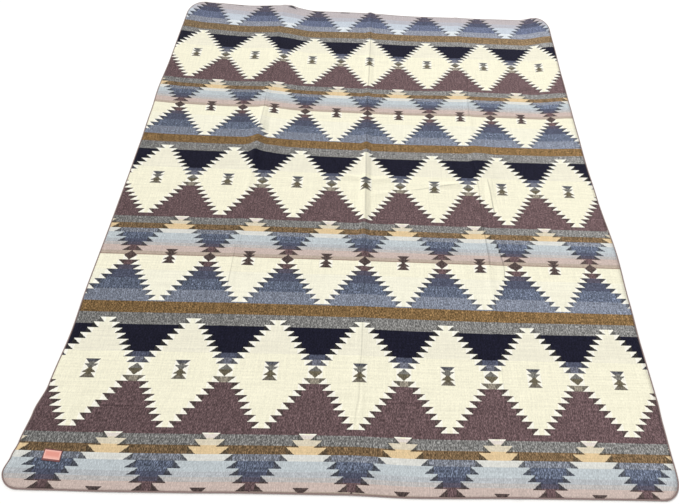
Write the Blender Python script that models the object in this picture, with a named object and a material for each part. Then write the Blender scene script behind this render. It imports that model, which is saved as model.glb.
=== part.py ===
"""A woven alpaca blanket, opened out and lying on a flat surface.

Three pieces: the woven panel with its fold ridges, the yarn edging whipped round it, and a small
blank label sewn to one corner. Metres, +Z up, X across the blanket, Y along it, the label at the
near left corner. The origin is on the surface, under the middle of the blanket's outline.
"""
import math
from collections import namedtuple

import bmesh
import bpy
import numpy as np

# The cloth as it was cut, and where its middle lies from the origin
WIDTH = 1.830
LENGTH = 2.290
MIDDLE_X = 0.010
MIDDLE_Y = -0.0128
CLOTH_THICK = 0.0030

# Sewn-on pieces
GAP = 0.0003
EDGING_WIDE = 0.0065
EDGING_PROUD = 0.0010
LABEL_WIDE = 0.050
LABEL_DEEP = 0.030
LABEL_THICK = 0.0008
LABEL_CORNER = 0.0015
LABEL_ACROSS = -0.833
LABEL_ALONG = -1.052
LABEL_TURN = math.radians(-5.7)
LABEL_SKEW = 0.14

# Rounded corners: how far each one reaches across and along
Corner = namedtuple("Corner", "across along")
NEAR_CORNER = Corner(0.055, 0.060)
FAR_CORNER = Corner(0.090, 0.120)

# How far the two long edges stray outwards from straight, from the near end to the far end
Side = namedtuple("Side", "along left right")
SIDES = (
    Side(-1.145, 0.038, -0.006),
    Side(-1.110, 0.038, -0.005),
    Side(-1.060, 0.028, -0.003),
    Side(-1.025, 0.022, -0.003),
    Side(-0.940, 0.014, -0.001),
    Side(-0.860, 0.000, 0.003),
    Side(-0.680, -0.008, 0.003),
    Side(-0.520, -0.004, 0.008),
    Side(-0.330, -0.004, 0.014),
    Side(-0.050, -0.003, 0.002),
    Side(0.120, -0.001, -0.002),
    Side(0.320, 0.004, 0.001),
    Side(0.470, 0.010, 0.003),
    Side(0.660, 0.006, 0.006),
    Side(0.900, 0.008, 0.012),
    Side(1.145, 0.010, 0.018),
)

# How far the near and far ends stray outwards from straight, from left to right
End = namedtuple("End", "across near far")
ENDS = (
    End(-0.915, -0.007, 0.034),
    End(-0.800, -0.005, 0.014),
    End(-0.620, -0.003, 0.005),
    End(-0.440, -0.003, 0.021),
    End(-0.280, -0.004, -0.014),
    End(-0.020, -0.003, -0.009),
    End(0.180, 0.003, -0.018),
    End(0.480, 0.000, -0.010),
    End(0.740, 0.000, -0.002),
    End(0.915, 0.001, 0.050),
)

# Fold ridges left by storing the blanket folded. right and beyond place the middle of the ridge
# from the middle of the cloth, turn is degrees clockwise from straight along the blanket, reach
# is half its length, wide_left and wide_right are its two slopes and high is its crest.
Fold = namedtuple("Fold", "name right beyond turn reach wide_left wide_right high")
FOLDS = (
    Fold("centre fold", -0.002, 0.620, 0, 2.000, 0.024, 0.024, 0.0065),
    Fold("centre crest", -0.002, -0.032, 0, 0.450, 0.024, 0.024, 0.0100),
    Fold("left fold", -0.450, 0.318, 0, 2.000, 0.022, 0.022, 0.0035),
    Fold("left wrinkle", -0.446, 0.218, 0, 0.230, 0.055, 0.034, 0.0150),
    Fold("left wrinkle foot", -0.440, 0.108, 4, 0.110, 0.040, 0.110, 0.0120),
    Fold("right fold", 0.444, 0.018, 0, 2.200, 0.022, 0.022, 0.0030),
    Fold("right swell", 0.470, 0.108, 0, 0.160, 0.060, 0.065, 0.0080),
    Fold("right curl", 0.490, -0.052, 2, 0.100, 0.022, 0.016, 0.0050),
    Fold("half-length fold, left", -0.070, 0.004, 99, 0.110, 0.022, 0.022, 0.0050),
    Fold("half-length fold, right", 0.070, -0.004, 84, 0.100, 0.022, 0.022, 0.0050),
    Fold("half-length fold, far right", 0.320, -0.020, 86, 0.150, 0.022, 0.022, 0.0045),
    Fold("short wrinkle", 0.070, -0.080, 84, 0.090, 0.018, 0.018, 0.0040),
    Fold("far end lift", -0.417, 1.146, 0, 0.060, 0.045, 0.045, 0.0070),
)
LONG_REACH = 1.0
STEEP_TURN = math.radians(45)
CREST_SOFT = 0.22
CREST_POWER = 1.25

# Spacing of the solid's faces
COLUMN_STEP = 0.115
ROW_STEP = 0.110
ACROSS_RIDGE = (-1.0, -0.62, -0.28, 0.0, 0.28, 0.62, 1.0)
ALONG_RIDGE = (-1.0, -0.5, 0.0, 0.5, 1.0)
CORNER_STEPS = 6
CORNER_ZONE = 0.180
CLOSEST = 0.007
CLEAR_OF_RIDGE = 0.021


def between(where, places, values):
    """Value at each place of a smooth curve that passes level through the table's values."""
    where = np.clip(where, places[0], places[-1])
    places = np.array(places)
    values = np.array(values)
    left = np.clip(np.searchsorted(places, where) - 1, 0, len(places) - 2)
    part = (where - places[left]) / (places[left + 1] - places[left])
    ease = part * part * (3 - 2 * part)
    return values[left] + (values[left + 1] - values[left]) * ease


def lay(across, along):
    """Plan place of a point of the cloth: straight, plus its share of the edges' straying.

    Across, the share runs evenly from the left edge to the right one. Along, the near end's
    straying fades out over the nearest quarter and the far end's over the farther half.
    """
    to_right = np.clip(0.5 + across / WIDTH, 0, 1)
    rows = [side.along for side in SIDES]
    left = between(along, rows, [side.left for side in SIDES])
    right = between(along, rows, [side.right for side in SIDES])
    columns = [end.across for end in ENDS]
    near = between(across, columns, [end.near for end in ENDS])
    far = between(across, columns, [end.far for end in ENDS])
    near_share = np.clip(-along / (LENGTH / 2) * 2 - 1, 0, 1)
    far_share = np.clip(along / (LENGTH / 2), 0, 1)
    x = MIDDLE_X + across - left * (1 - to_right) + right * to_right
    y = MIDDLE_Y + along - near * near_share + far * far_share
    return x, y


def lift(x, y):
    """Height of the cloth's underside: the fold ridges that pass there, added up.

    Along a ridge the height is (1 - s^2)^2 with s the distance from its middle over its reach.
    Across it the height falls as a tent with a softly rounded crest. Where there is no ridge
    the cloth lies on the surface.
    """
    total = np.zeros_like(x)
    blunt = math.sqrt(1 + CREST_SOFT ** 2)
    for fold in FOLDS:
        angle = math.radians(fold.turn)
        right = x - MIDDLE_X - fold.right
        beyond = y - MIDDLE_Y - fold.beyond
        across = right * math.cos(angle) - beyond * math.sin(angle)
        along = right * math.sin(angle) + beyond * math.cos(angle)
        slope = np.where(across < 0, -across / fold.wide_left, across / fold.wide_right)
        tent = (blunt - np.sqrt(slope ** 2 + CREST_SOFT ** 2)) / (blunt - CREST_SOFT)
        fade = np.clip(1 - (along / fold.reach) ** 2, 0, 1) ** 2
        total += fold.high * np.clip(tent, 0, 1) ** CREST_POWER * fade
    return total


def narrowing(along, inset):
    """How much a rounded corner takes off each side at a distance along the cloth."""
    half = LENGTH / 2 - inset
    taken = np.zeros_like(along)
    for corner, to_end in ((NEAR_CORNER, half + along), (FAR_CORNER, half - along)):
        round_in = np.clip(1 - to_end / (corner.along - inset), 0, 1)
        taken += (corner.across - inset) * (1 - np.sqrt(1 - round_in ** 2))
    return taken


def merged(plain, wanted):
    """Sorted stations: all the wanted ones, and the plain ones that aren't next to them."""
    kept = []
    for place in sorted(wanted):
        if not kept or place - kept[-1] > CLOSEST:
            kept.append(place)
    clear = [place for place in plain if min(abs(place - other) for other in kept) > CLEAR_OF_RIDGE]
    return np.array(sorted(kept + clear))


def column_stations(half):
    """Distances across at which the solid has edges: close at the ridges, wide between them."""
    wanted = [-half, half]
    for fold in FOLDS:
        if math.radians(fold.turn) < STEEP_TURN:
            for step in ACROSS_RIDGE:
                wanted.append(fold.right + step * (fold.wide_left if step < 0 else fold.wide_right))
        else:
            for step in ALONG_RIDGE:
                wanted.append(fold.right + step * fold.reach)
    count = round(2 * half / COLUMN_STEP)
    return merged(np.linspace(-half, half, count + 1)[1:-1], wanted)


def row_stations(half, inset):
    """Distances along at which the solid has edges, with the corners' arcs stepped by angle."""
    wanted = [-half, half]
    for step in range(1, CORNER_STEPS + 1):
        rise = 1 - math.sin(math.pi / 2 * (1 - step / CORNER_STEPS))
        wanted.append(-half + (NEAR_CORNER.along - inset) * rise)
        wanted.append(half - (FAR_CORNER.along - inset) * rise)
    for fold in FOLDS:
        if math.radians(fold.turn) > STEEP_TURN:
            for step in ACROSS_RIDGE:
                wanted.append(fold.beyond + step * fold.wide_left)
        elif fold.reach < LONG_REACH:
            for step in ALONG_RIDGE:
                wanted.append(fold.beyond + step * fold.reach)
    wanted = [place for place in wanted if abs(place) <= half]
    count = round(2 * half / ROW_STEP)
    return merged(np.linspace(-half, half, count + 1)[1:-1], wanted)


def cloth_grid(inset):
    """Across and along places of the cloth's grid, its rows drawn in at the rounded corners."""
    half_wide = WIDTH / 2 - inset
    half_long = LENGTH / 2 - inset
    columns = column_stations(half_wide)
    rows = row_stations(half_long, inset)
    across, along = np.meshgrid(columns, rows)
    fixed = half_wide - CORNER_ZONE
    outer = np.clip((np.abs(across) - fixed) / CORNER_ZONE, 0, 1)
    across = across - np.sign(across) * outer * narrowing(along, inset)
    return across, along


def rim_order(rows, columns):
    """Grid places round the rim, anticlockwise from the near left corner."""
    order = [(0, column) for column in range(columns)]
    order += [(row, columns - 1) for row in range(1, rows)]
    order += [(rows - 1, column) for column in range(columns - 2, -1, -1)]
    order += [(row, 0) for row in range(rows - 2, 0, -1)]
    return order


def new_part(name, points, faces, material):
    """One object of a mesh whose faces all point outwards."""
    mesh = bpy.data.meshes.new(name)
    mesh.from_pydata([tuple(point) for point in points], [], faces)
    shape = bmesh.new()
    shape.from_mesh(mesh)
    bmesh.ops.recalc_face_normals(shape, faces=shape.faces)
    shape.to_mesh(mesh)
    shape.free()
    mesh.materials.append(material)
    part = bpy.data.objects.new(name, mesh)
    bpy.context.collection.objects.link(part)
    return part


def yarn(name, colour, roughness):
    """A dull, dyed fibre finish."""
    material = bpy.data.materials.new(name)
    material.use_nodes = True
    shader = material.node_tree.nodes["Principled BSDF"]
    shader.inputs["Base Color"].default_value = (*colour, 1.0)
    shader.inputs["Roughness"].default_value = roughness
    shader.inputs["Metallic"].default_value = 0.0
    return material


def build_panel(material):
    """The woven cloth: a sheet of even thickness laid over its fold ridges.

    Returns the plan places and heights of the underside's rim, in order, for the edging.
    """
    across, along = cloth_grid(EDGING_WIDE + GAP)
    x, y = lay(across, along)
    z = lift(x, y)
    rows, columns = x.shape
    under = np.stack([x, y, z], axis=-1).reshape(-1, 3)
    upper = under + (0, 0, CLOTH_THICK)
    points = np.concatenate([under, upper])
    first_upper = rows * columns

    faces = []
    for row in range(rows - 1):
        for column in range(columns - 1):
            a = row * columns + column
            halves = ((a, a + 1, a + columns + 1), (a, a + columns + 1, a + columns))
            for half in halves:
                faces.append(half[::-1])
                faces.append(tuple(first_upper + corner for corner in half))
    rim = [row * columns + column for row, column in rim_order(rows, columns)]
    for here, after in zip(rim, rim[1:] + rim[:1]):
        faces.append((here, after, first_upper + after))
        faces.append((here, first_upper + after, first_upper + here))
    new_part("woven_panel", points, faces, material)
    return under[rim]


def build_edging(rim, material):
    """The whipped yarn edge: a rounded bead carried round the cloth's rim, a gap away from it.

    At each rim point the bead's section stands on the line that halves the rim's corner there,
    so that its inner wall keeps the same gap all the way round.
    """
    before = np.roll(rim, 1, axis=0)[:, :2]
    after = np.roll(rim, -1, axis=0)[:, :2]
    into = rim[:, :2] - before
    out_of = after - rim[:, :2]
    into /= np.linalg.norm(into, axis=1)[:, None]
    out_of /= np.linalg.norm(out_of, axis=1)[:, None]
    normal_in = np.stack([into[:, 1], -into[:, 0]], axis=1)
    normal_out = np.stack([out_of[:, 1], -out_of[:, 0]], axis=1)
    halving = normal_in + normal_out
    halving /= np.sum(halving * normal_in, axis=1)[:, None]

    top = CLOTH_THICK + EDGING_PROUD
    section = (
        (0.00, 0.0),
        (0.00, top - EDGING_PROUD * 0.5),
        (0.22, top),
        (0.62, top - EDGING_PROUD * 0.3),
        (0.92, top * 0.62),
        (1.00, top * 0.30),
        (0.90, 0.0),
    )
    rings = []
    for share, height in section:
        place = rim[:, :2] + halving * (GAP + share * EDGING_WIDE)
        rings.append(np.column_stack([place, rim[:, 2] + height]))
    points = np.stack(rings, axis=1).reshape(-1, 3)

    sides = len(section)
    faces = []
    for station in range(len(rim)):
        this = station * sides
        following = (station + 1) % len(rim) * sides
        for side in range(sides):
            turn = (side + 1) % sides
            faces.append((this + side, following + side, following + turn))
            faces.append((this + side, following + turn, this + turn))
    new_part("yarn_edging", points, faces, material)


def build_label(material):
    """The woven label: a thin rounded tab, sewn flat and a little askew, and left blank."""
    outline = []
    for sign_x, sign_y, start in ((1, 1, 0), (-1, 1, 90), (-1, -1, 180), (1, -1, 270)):
        for step in range(4):
            angle = math.radians(start + 30 * step)
            right = sign_x * (LABEL_WIDE / 2 - LABEL_CORNER) + LABEL_CORNER * math.cos(angle)
            beyond = sign_y * (LABEL_DEEP / 2 - LABEL_CORNER) + LABEL_CORNER * math.sin(angle)
            outline.append((right - LABEL_SKEW * beyond, beyond))
    floor = CLOTH_THICK + GAP
    points = [(x, y, 0.0) for x, y in outline] + [(x, y, LABEL_THICK) for x, y in outline]
    count = len(outline)
    faces = [tuple(range(count))[::-1], tuple(range(count, 2 * count))]
    for here in range(count):
        after = (here + 1) % count
        faces.append((here, after, count + after, count + here))
    label = new_part("corner_label", points, faces, material)
    label.location = (MIDDLE_X + LABEL_ACROSS, MIDDLE_Y + LABEL_ALONG, floor)
    label.rotation_euler = (0, 0, LABEL_TURN)


for old in list(bpy.data.objects):
    bpy.data.objects.remove(old)

rim_points = build_panel(yarn("brushed alpaca weave", (0.62, 0.58, 0.46), 0.95))
build_edging(rim_points, yarn("mauve-brown edging yarn", (0.14, 0.09, 0.11), 0.9))
build_label(yarn("pink woven tape", (0.62, 0.25, 0.22), 0.8))
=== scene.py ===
"""The looks of the woven alpaca blanket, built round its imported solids.

Four pieces ride on the one body: the woven cloth with its folds and its two-faced pattern, the
yarn whipped over its cut edge, the blank label and the label's stitches. Metres, +Z up, X across
the blanket and Y along it, as in the solids.
"""
import math
from collections import namedtuple

import bpy
import numpy as np
from mathutils import Matrix, Vector


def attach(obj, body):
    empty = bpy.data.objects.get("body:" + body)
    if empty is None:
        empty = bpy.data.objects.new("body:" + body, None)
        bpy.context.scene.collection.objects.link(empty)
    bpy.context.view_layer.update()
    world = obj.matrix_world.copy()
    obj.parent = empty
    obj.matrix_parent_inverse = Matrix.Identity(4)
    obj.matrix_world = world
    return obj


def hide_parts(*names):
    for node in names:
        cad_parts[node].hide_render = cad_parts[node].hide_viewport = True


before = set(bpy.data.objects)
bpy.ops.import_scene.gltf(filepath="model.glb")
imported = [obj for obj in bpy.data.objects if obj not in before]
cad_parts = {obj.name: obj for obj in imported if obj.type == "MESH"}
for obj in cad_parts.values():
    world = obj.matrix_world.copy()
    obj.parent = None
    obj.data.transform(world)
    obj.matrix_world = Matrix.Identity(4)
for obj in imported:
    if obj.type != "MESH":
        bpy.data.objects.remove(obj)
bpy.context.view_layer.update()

# Camera: where it stands, which way it faces (degrees) and its lens, in the photograph's pixels
CAMERA_PLACE = (0.002, -1.372, 1.516)
CAMERA_DOWN = 56.17
CAMERA_RIGHT = 4.165
CAMERA_ROLL = 5.380
FOCAL_PX = 510.0
CENTRE_PX = 382.0
PICTURE_WIDE_PX = 679
SENSOR = 36.0

# The cloth as it was cut, and where its middle lies from the origin, as the solids have it
WIDTH = 1.830
LENGTH = 2.290
MIDDLE_X = 0.010
MIDDLE_Y = -0.0128
CLOTH_THICK = 0.0030

# How far the whipping and the cloth's raw edge lie in from the blanket's outline
EDGE_INSET = 0.0027
EDGE_HALF_WIDE = 0.0026
EDGE_HALF_HIGH = 0.0019
CLOTH_INSET = 0.0038

# Rounded corners: how far each one reaches across and along
Corner = namedtuple("Corner", "across along")
NEAR_CORNER = Corner(0.055, 0.060)
FAR_CORNER = Corner(0.090, 0.120)
CORNER_ZONE = 0.180

# How far the two long edges stray outwards from straight, from the near end to the far end
Side = namedtuple("Side", "along left right")
SIDES = (
    Side(-1.145, 0.038, -0.006),
    Side(-1.110, 0.038, -0.005),
    Side(-1.060, 0.028, -0.003),
    Side(-1.025, 0.022, -0.003),
    Side(-0.940, 0.014, -0.001),
    Side(-0.860, 0.000, 0.003),
    Side(-0.680, -0.008, 0.003),
    Side(-0.520, -0.004, 0.008),
    Side(-0.330, -0.004, 0.014),
    Side(-0.050, -0.003, 0.002),
    Side(0.120, -0.001, -0.002),
    Side(0.320, 0.004, 0.001),
    Side(0.470, 0.010, 0.003),
    Side(0.660, 0.006, 0.006),
    Side(0.900, 0.008, 0.012),
    Side(1.145, 0.010, 0.018),
)

# How far the near and far ends stray outwards from straight, from left to right
End = namedtuple("End", "across near far")
ENDS = (
    End(-0.915, -0.007, 0.034),
    End(-0.800, -0.005, 0.014),
    End(-0.620, -0.003, 0.005),
    End(-0.440, -0.003, 0.021),
    End(-0.280, -0.004, -0.014),
    End(-0.020, -0.003, -0.009),
    End(0.180, 0.003, -0.018),
    End(0.480, 0.000, -0.010),
    End(0.740, 0.000, -0.002),
    End(0.915, 0.001, 0.050),
)

# Fold ridges, as the solids have them. right and beyond place the middle of the ridge from the
# middle of the cloth, turn is degrees clockwise from straight along the blanket, reach is half its
# length, wide_left and wide_right are its two slopes and high is its crest.
Fold = namedtuple("Fold", "name right beyond turn reach wide_left wide_right high")
FOLDS = (
    Fold("centre fold", -0.002, 0.620, 0, 2.000, 0.024, 0.024, 0.0065),
    Fold("centre crest", -0.002, -0.032, 0, 0.450, 0.024, 0.024, 0.0100),
    Fold("left fold", -0.450, 0.318, 0, 2.000, 0.022, 0.022, 0.0035),
    Fold("left wrinkle", -0.446, 0.218, 0, 0.230, 0.055, 0.034, 0.0150),
    Fold("left wrinkle foot", -0.440, 0.108, 4, 0.110, 0.040, 0.110, 0.0120),
    Fold("right fold", 0.444, 0.018, 0, 2.200, 0.022, 0.022, 0.0030),
    Fold("right swell", 0.470, 0.108, 0, 0.160, 0.060, 0.065, 0.0080),
    Fold("right curl", 0.490, -0.052, 2, 0.100, 0.022, 0.016, 0.0050),
    Fold("half-length fold, left", -0.070, 0.004, 99, 0.110, 0.022, 0.022, 0.0050),
    Fold("half-length fold, right", 0.070, -0.004, 84, 0.100, 0.022, 0.022, 0.0050),
    Fold("half-length fold, far right", 0.320, -0.020, 86, 0.150, 0.022, 0.022, 0.0045),
    Fold("short wrinkle", 0.070, -0.080, 84, 0.090, 0.018, 0.018, 0.0040),
    Fold("far end lift", -0.417, 1.146, 0, 0.060, 0.045, 0.045, 0.0070),
)
CREST_SOFT = 0.22
CREST_POWER = 1.25

# Pressed creases, too fine for the solids: narrow ridges laid over the folds
CREASES = (
    Fold("left fold crease", -0.443, 0.450, -2, 0.130, 0.012, 0.007, 0.0015),
    Fold("right crease, far", 0.438, 0.126, 5, 0.070, 0.008, 0.006, 0.0010),
    Fold("right crease, middle", 0.444, -0.155, 4, 0.090, 0.008, 0.006, 0.0010),
    Fold("right crease, near", 0.452, -0.319, 2, 0.090, 0.008, 0.006, 0.0010),
    Fold("short crease", 0.317, -0.291, 0, 0.040, 0.007, 0.006, 0.0008),
    Fold("curl crease", 0.490, -0.045, -2, 0.085, 0.008, 0.005, 0.0012),
    Fold("cross crease, left", -0.053, 0.002, 99, 0.060, 0.009, 0.009, 0.0010),
    Fold("cross crease, right", 0.051, -0.006, 79, 0.050, 0.008, 0.008, 0.0008),
    Fold("lower cross crease", 0.056, -0.080, 81, 0.050, 0.008, 0.008, 0.0008),
    Fold("far right cross crease", 0.333, -0.020, 82, 0.070, 0.009, 0.009, 0.0010),
    Fold("near cross crease", -0.275, -0.901, 89, 0.260, 0.010, 0.008, 0.0008),
    Fold("near centre crease", 0.008, -0.820, 0, 0.300, 0.007, 0.007, 0.0008),
)

# Pressed lines, grooved and painted darker as painted shade in the creases: places across and along
Pressed = namedtuple("Pressed", "name start end strength")
PRESSED = (
    Pressed("centre, far half", (0.001, 1.160), (-0.002, -0.260), 0.7),
    Pressed("centre, near half", (-0.002, -0.180), (-0.002, -1.000), 0.4),
    Pressed("left, far half", (-0.440, 0.700), (-0.446, 0.180), 0.6),
    Pressed("left, near half", (-0.459, -0.320), (-0.457, -0.680), 0.6),
    Pressed("right, far half", (0.459, 0.720), (0.442, 0.360), 0.6),
    Pressed("right, past the middle", (0.430, 0.260), (0.444, -0.060), 0.6),
    Pressed("right, at the middle", (0.444, -0.050), (0.432, -0.210), 0.9),
    Pressed("right, nearer", (0.432, -0.170), (0.440, -0.410), 1.0),
    Pressed("right, near half", (0.444, -0.500), (0.442, -0.690), 1.0),
    Pressed("right, near end", (0.440, -0.640), (0.442, -1.080), 0.3),
    Pressed("beside the curl", (0.484, 0.020), (0.490, -0.160), 1.0),
    Pressed("tuck", (0.468, -0.260), (0.491, -0.400), 1.0),
    Pressed("tuck, foot", (0.491, -0.380), (0.488, -0.440), 0.7),
    Pressed("tuck, faint end", (0.477, -0.480), (0.477, -0.580), 0.7),
    Pressed("across, at the middle", (0.170, -0.056), (0.380, -0.012), 0.6),
    Pressed("across, far right", (0.520, -0.613), (0.905, -0.598), 0.5),
    Pressed("across, near left", (-0.750, -0.915), (-0.610, -0.916), 1.0),
    Pressed("across, near", (0.070, -0.890), (0.180, -0.888), 0.8),
)
PRESSED_HALF_WIDE = 0.0036
CREASE_SHADE_STOPS = 0.75
PRESSED_REACH = 0.018

# Painted light: beside each pressed line the cloth is painted a little paler, as a lit side of the
# crease
CREASE_LIGHT_ASIDE = 0.0080
CREASE_LIGHT_HALF_WIDE = 0.0060
CREASE_LIGHT_STOPS = 0.12

# A tuck: where its line runs across, and how much cloth it hides
Tuck = namedtuple("Tuck", "along across hidden")
TUCK = (
    Tuck(-0.580, 0.476, 0.000),
    Tuck(-0.540, 0.476, 0.002),
    Tuck(-0.500, 0.477, 0.009),
    Tuck(-0.440, 0.487, 0.010),
    Tuck(-0.390, 0.490, 0.015),
    Tuck(-0.330, 0.479, 0.016),
    Tuck(-0.280, 0.472, 0.006),
    Tuck(-0.220, 0.472, 0.000),
)
TUCK_FADE = 0.075

# The slight swell of cloth that nobody has smoothed: two crossed waves. A wave's crest sways by a
# share of its length, as the sine of so many radians a metre, and start is a share of it too.
SWELL_HIGH = 0.0007
Wave = namedtuple("Wave", "long sway sways start")
WAVE_ACROSS = Wave(0.31, 0.35, 5.0, 0.0)
WAVE_ALONG = Wave(0.43, 0.40, 4.0, 0.2)

# Grid of the visible cloth: columns, rows, and how they crowd at the folds and at the two ends
COLUMNS = 212
ROWS = 218
FOLD_CROWD = 2.5
FOLD_CROWD_REACH = 0.018
END_CROWD = 2.0
END_CROWD_REACH = 0.045
CROWD_SAMPLES = 8001

# The woven pattern. Columns of diamonds stand a pitch apart, and rows of them a repeat apart. The
# second family of diamonds is staggered by half a pitch and lies between the rows of the first.
COLUMN_PITCH = 0.26992
ROW_REPEAT = 0.7676
FIRST_ROW = -0.8000
STAGGERED_ROW = -1.1585
STEP_DEEP = 0.0192
STEPS = 9
STEP_INNER = 0.1120
STEP_INNER_LOSS = 0.0131
TOOTH_LONG = 0.0230
TOOTH_GAIN = 0.0012
TOOTH_BEND = 0.0002
EYE_DEEP = 0.0147
EYE_STEPS = 2
EYE_WAIST = 0.0045
EYE_INNER = 0.0025
EYE_TOOTH = 0.0180
FAR_STRIPES_FROM = 0.900

# How far the real weave lies aside from and beyond its even pattern, at five places across
STRAY_COLUMNS = (-0.84, -0.42, 0.0, 0.42, 0.84)
Stray = namedtuple("Stray", "along aside beyond")
STRAYS = (
    Stray(-1.06, (0.010, 0.009, 0.008, 0.009, 0.007), (-0.001, -0.001, 0.003, -0.002, -0.002)),
    Stray(-1.02, (0.004, 0.004, 0.004, 0.006, 0.005), (-0.002, -0.001, 0.002, -0.002, -0.002)),
    Stray(-0.93, (0.003, 0.001, 0.001, 0.003, -0.001), (-0.005, -0.001, 0.001, -0.001, -0.003)),
    Stray(-0.80, (-0.003, -0.006, -0.003, 0.000, -0.001), (-0.004, 0.000, 0.001, -0.002, -0.003)),
    Stray(-0.67, (-0.005, -0.007, -0.003, 0.003, 0.000), (-0.004, 0.000, 0.001, -0.004, 0.000)),
    Stray(-0.52, (-0.001, -0.004, -0.003, 0.001, -0.004), (-0.005, -0.001, 0.000, -0.004, -0.003)),
    Stray(-0.39, (0.003, -0.001, -0.003, -0.001, -0.008), (-0.004, -0.001, -0.001, -0.002, 0.000)),
    Stray(-0.26, (0.005, 0.001, -0.003, -0.003, -0.012), (-0.003, 0.000, -0.001, -0.002, 0.001)),
    Stray(-0.10, (0.006, 0.003, -0.002, -0.004, -0.009), (-0.004, 0.001, -0.003, -0.001, -0.001)),
    Stray(0.09, (0.008, 0.005, 0.000, 0.000, -0.003), (-0.005, -0.004, -0.010, -0.002, 0.003)),
    Stray(0.24, (0.009, 0.004, 0.001, 0.001, -0.001), (-0.003, -0.002, -0.006, 0.002, 0.004)),
    Stray(0.54, (0.007, 0.004, 0.001, 0.001, 0.001), (0.003, 0.000, -0.004, 0.010, 0.004)),
    Stray(0.80, (0.006, 0.003, 0.001, 0.002, 0.001), (0.000, 0.000, 0.001, 0.010, 0.005)),
    Stray(0.94, (0.006, 0.003, 0.001, 0.001, 0.002), (0.000, -0.008, 0.001, 0.011, 0.002)),
    Stray(1.15, (0.006, 0.003, 0.000, 0.000, 0.002), (0.034, 0.010, 0.027, 0.027, 0.027)),
)

# Dyed yarns, and how strongly each one's two fibres show apart, from 0 to 1
Yarn = namedtuple("Yarn", "colour heather")
YARNS = {
    "cream": Yarn("#F4F0D8", 0.06),
    "bone": Yarn("#EEEAD6", 0.05),
    "ivory": Yarn("#F3F0DC", 0.05),
    "beige pink": Yarn("#BAAA9C", 0.14),
    "dusty pink": Yarn("#CAB8B0", 0.14),
    "oatmeal": Yarn("#BEBAB8", 0.20),
    "silver": Yarn("#B8BCC0", 0.20),
    "pale ice": Yarn("#C0C8CC", 0.16),
    "ice": Yarn("#DCDCD6", 0.10),
    "peach": Yarn("#E0C69C", 0.12),
    "sand": Yarn("#DCD2BC", 0.12),
    "rose white": Yarn("#E2D8D0", 0.10),
    "tan pink": Yarn("#A08C7C", 0.14),
    "frost": Yarn("#DEE4E8", 0.08),
    "lilac ice": Yarn("#C4CCD6", 0.12),
    "pearl": Yarn("#B8B8C0", 0.12),
    "rose pearl": Yarn("#BCB4B6", 0.12),
    "maroon brown": Yarn("#685456", 0.60),
    "dark plum": Yarn("#565260", 0.45),
    "navy": Yarn("#505466", 0.50),
    "slate": Yarn("#60687A", 0.80),
    "light slate": Yarn("#7E828C", 0.75),
    "gold brown": Yarn("#7E6442", 0.75),
    "dull gold": Yarn("#786248", 0.75),
    "hazy gold": Yarn("#7C684E", 0.75),
    "ash": Yarn("#7F7E7C", 0.78),
    "olive ash": Yarn("#968E80", 0.50),
    "olive brown": Yarn("#8A8068", 0.45),
    "fog": Yarn("#A2A09A", 0.50),
    "storm": Yarn("#70727E", 0.60),
    "black navy": Yarn("#1A1A2A", 0.45),
    "steel": Yarn("#7E8492", 0.60),
    "hazy steel": Yarn("#8A8E9A", 0.50),
    "hazy slate": Yarn("#646C84", 0.50),
    "hazy navy": Yarn("#4E5266", 0.45),
}

# Weft stripes of one repeat, by their start beyond the middle of a staggered row: the yarn of the
# figures and the yarn of the ground behind them
Stripe = namedtuple("Stripe", "start figure ground")
STRIPES = (
    Stripe(0.0000, "cream", "maroon brown"),
    Stripe(0.0020, "tan pink", "maroon brown"),
    Stripe(0.0050, "beige pink", "maroon brown"),
    Stripe(0.0170, "dusty pink", "maroon brown"),
    Stripe(0.0400, "oatmeal", "dark plum"),
    Stripe(0.0525, "silver", "navy"),
    Stripe(0.0680, "pale ice", "slate"),
    Stripe(0.0940, "ice", "light slate"),
    Stripe(0.1130, "peach", "dull gold"),
    Stripe(0.1360, "sand", "ash"),
    Stripe(0.1570, "rose white", "ash"),
    Stripe(0.1670, "cream", "maroon brown"),
    Stripe(0.3205, "cream", "olive ash"),
    Stripe(0.3385, "cream", "olive brown"),
    Stripe(0.3585, "cream", "fog"),
    Stripe(0.3765, "cream", "storm"),
    Stripe(0.3985, "cream", "navy"),
    Stripe(0.4115, "bone", "black navy"),
    Stripe(0.5065, "ivory", "ash"),
    Stripe(0.5480, "ivory", "gold brown"),
    Stripe(0.5895, "ivory", "steel"),
    Stripe(0.6335, "ivory", "slate"),
    Stripe(0.6765, "ivory", "navy"),
    Stripe(0.7080, "cream", "dark plum"),
    Stripe(0.7286, "cream", "maroon brown"),
)

# The last stripes at the far end, whose yarns look hazier and bluer
FAR_STRIPES = (
    Stripe(0.0000, "ivory", "ash"),
    Stripe(0.5400, "ivory", "hazy gold"),
    Stripe(0.5930, "frost", "hazy steel"),
    Stripe(0.6270, "lilac ice", "hazy slate"),
    Stripe(0.6690, "pearl", "hazy navy"),
    Stripe(0.6960, "rose pearl", "dark plum"),
)

# How far a tooth's close-packed threads turn paler, in figures of undyed yarn, and darker, in the
# ground. A yarn with less heather than UNDYED_HEATHER is undyed.
TOOTH_PACKED = 0.55
PACKED_PALE = "#FFFDF8"
PACKED_DARK = "#3A3830"
UNDYED_HEATHER = 0.07

# Painted light: how much the heather is painted paler to the right and the far end, darker opposite
PAINTED_LIGHT_RIGHT = 0.38
PAINTED_LIGHT_FAR = 0.21

# Light: the pale surround, the broad lamp high on the left and the fill beyond the far end
SURROUND = 0.64
LAMP = 1.68
LAMP_WHITE = (1.0, 0.99, 0.97)
LAMP_SPREAD = math.radians(20)
LAMP_TURN = (math.radians(-20), math.radians(-38), 0)
FILL = 56.0
FILL_WIDE = 2.0
FILL_PLACE = (2.0, 4.5, 3.5)

# The floor, a little under the cloth so that the two never share a face, and its clouds to a metre
FLOOR_REACH = 9.0
FLOOR_UNDER = 0.0003
FLOOR_CLOUDS = 3.0

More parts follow.
